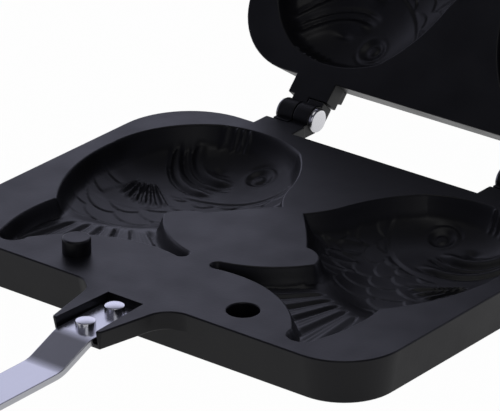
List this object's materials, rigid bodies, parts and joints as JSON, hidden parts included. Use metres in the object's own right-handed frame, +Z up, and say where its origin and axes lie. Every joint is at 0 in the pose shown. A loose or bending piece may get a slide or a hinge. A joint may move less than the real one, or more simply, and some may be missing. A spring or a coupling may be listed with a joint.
{
  "type": "taiyaki maker",
  "caption": "Hinged hand-held pan for fish-shaped cakes: equal cast plates with mirrored fish cavities, riveted straps, plastic grips and a wire latch ring.",
  "frame": {"origin": "middle of the lower plate's flat underside", "axes": "+Z up, handles towards -Y, hinge at +Y, +X to the right seen from the handles"},
  "size_m": [0.2, 0.6523, 0.2817],
  "materials": {
    "coated_casting": "dark non-stick coating on cast aluminium, semi-gloss",
    "bare_steel": "bare stainless steel strip",
    "polished_heads": "bright, domed",
    "grip_rivets": "turned flat heads",
    "moulded_grip": "black heat-proof moulded plastic",
    "wire": "plated wire"
  },
  "bodies": {
    "base": {"lower_plate": "coated_casting", "lower_strap": "bare_steel", "lower_front_rivet": "polished_heads", "lower_rear_rivet": "polished_heads", "lower_inner_grip": "moulded_grip", "lower_outer_grip": "moulded_grip", "lower_front_grip_rivet": "grip_rivets", "lower_rear_grip_rivet": "grip_rivets", "left_hinge_pin": "polished_heads", "right_hinge_pin": "polished_heads", "left_hinge_washer": "bare_steel", "right_hinge_washer": "bare_steel"},
    "lid": {"lid_plate": "coated_casting", "lid_strap": "bare_steel", "lid_front_rivet": "polished_heads", "lid_rear_rivet": "polished_heads", "lid_inner_grip": "moulded_grip", "lid_outer_grip": "moulded_grip", "lid_front_grip_rivet": "grip_rivets", "lid_rear_grip_rivet": "grip_rivets"},
    "latch": {"latch_ring": "wire"}
  },
  "joints": [
    {"name": "lid_hinge", "type": "hinge", "parent": "base", "child": "lid", "pos_m": [0, 0.0891, 0.01775], "axis": [1, 0, 0], "range_deg": [0, 134]},
    {"name": "latch_pivot", "type": "hinge", "parent": "base", "child": "latch", "pos_m": [0, -0.2695, 0.0111], "axis": [-1, 0, 0], "range_deg": [0, 109]}
  ]
}
